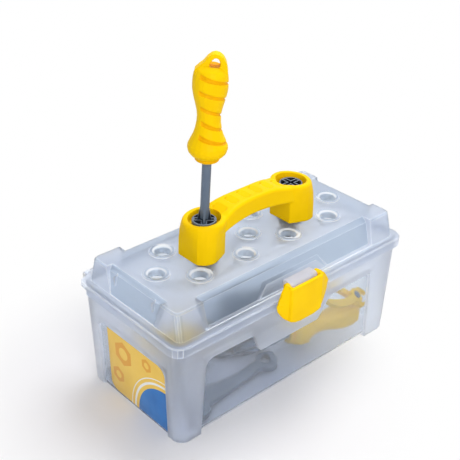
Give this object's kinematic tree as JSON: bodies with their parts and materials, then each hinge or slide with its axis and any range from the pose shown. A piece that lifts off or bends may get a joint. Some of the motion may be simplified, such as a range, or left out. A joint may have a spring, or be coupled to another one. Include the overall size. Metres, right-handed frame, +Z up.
{
  "type": "toy tool box",
  "caption": "Frosted plastic toy tool case with a domed hinged lid, yellow carrying handle, front latch and play tools inside, a screwdriver standing in the handle.",
  "frame": {"origin": "middle of the case's flat underside, on the surface it stands on", "axes": "+Z up, +X along the case towards its right end seen from the latch, -Y out of the latch side"},
  "size_m": [0.3, 0.1644, 0.3348],
  "materials": {
    "frosted": "satin",
    "yellow": "satin",
    "slate": "satin",
    "label": "gloss",
    "steel": "polished"
  },
  "bodies": {
    "case": {"box_body": "frosted", "end_label": "label", "hinge_pin_left": "steel", "hinge_pin_right": "steel", "spare_screwdriver_handle": "yellow", "spare_screwdriver_shaft": "slate", "hammer_handle": "yellow", "hammer_shaft": "slate", "hammer_head": "slate", "spanner": "slate", "play_bolt_1": "slate", "play_bolt_2": "slate", "play_bolt_3": "slate", "play_nut_1": "slate", "play_nut_2": "slate", "play_nut_3": "slate", "pliers_arm_lower": "yellow", "pliers_pin": "slate"},
    "lid": {"lid_shell": "frosted", "handle": "yellow", "nut_left": "slate", "nut_right": "slate"},
    "latch": {"latch_clip": "yellow"},
    "left_bolt": {"bolt_left": "slate"},
    "right_bolt": {"bolt_right": "slate"},
    "screwdriver": {"screwdriver_handle": "yellow", "screwdriver_shaft": "slate"},
    "pliers_upper": {"pliers_arm_upper": "yellow"}
  },
  "joints": [
    {"name": "lid_hinge", "type": "hinge", "parent": "case", "child": "lid", "pos_m": [0, 0.0788, 0.1115], "axis": [-1, 0, 0], "range_deg": [0, 110]},
    {"name": "latch_hinge", "type": "hinge", "parent": "lid", "child": "latch", "pos_m": [0, -0.0735, 0.1235], "axis": [-1, 0, 0], "range_deg": [0, 95]},
    {"name": "left_bolt_turn", "type": "hinge", "parent": "lid", "child": "left_bolt", "pos_m": [-0.056, 0, 0.1706], "axis": [0, 0, 1], "continuous": true},
    {"name": "right_bolt_turn", "type": "hinge", "parent": "lid", "child": "right_bolt", "pos_m": [0.056, 0, 0.1706], "axis": [0, 0, 1], "continuous": true},
    {"name": "screwdriver_lift", "type": "slide", "parent": "left_bolt", "child": "screwdriver", "axis": [0.0277, -0.0253, 0.9993], "range_m": [0, 0.05]},
    {"name": "pliers_pivot", "type": "hinge", "parent": "case", "child": "pliers_upper", "pos_m": [0.113, -0.046, 0.0392], "axis": [0.3707, -0.5271, 0.7647], "range_deg": [-20, 3]}
  ]
}
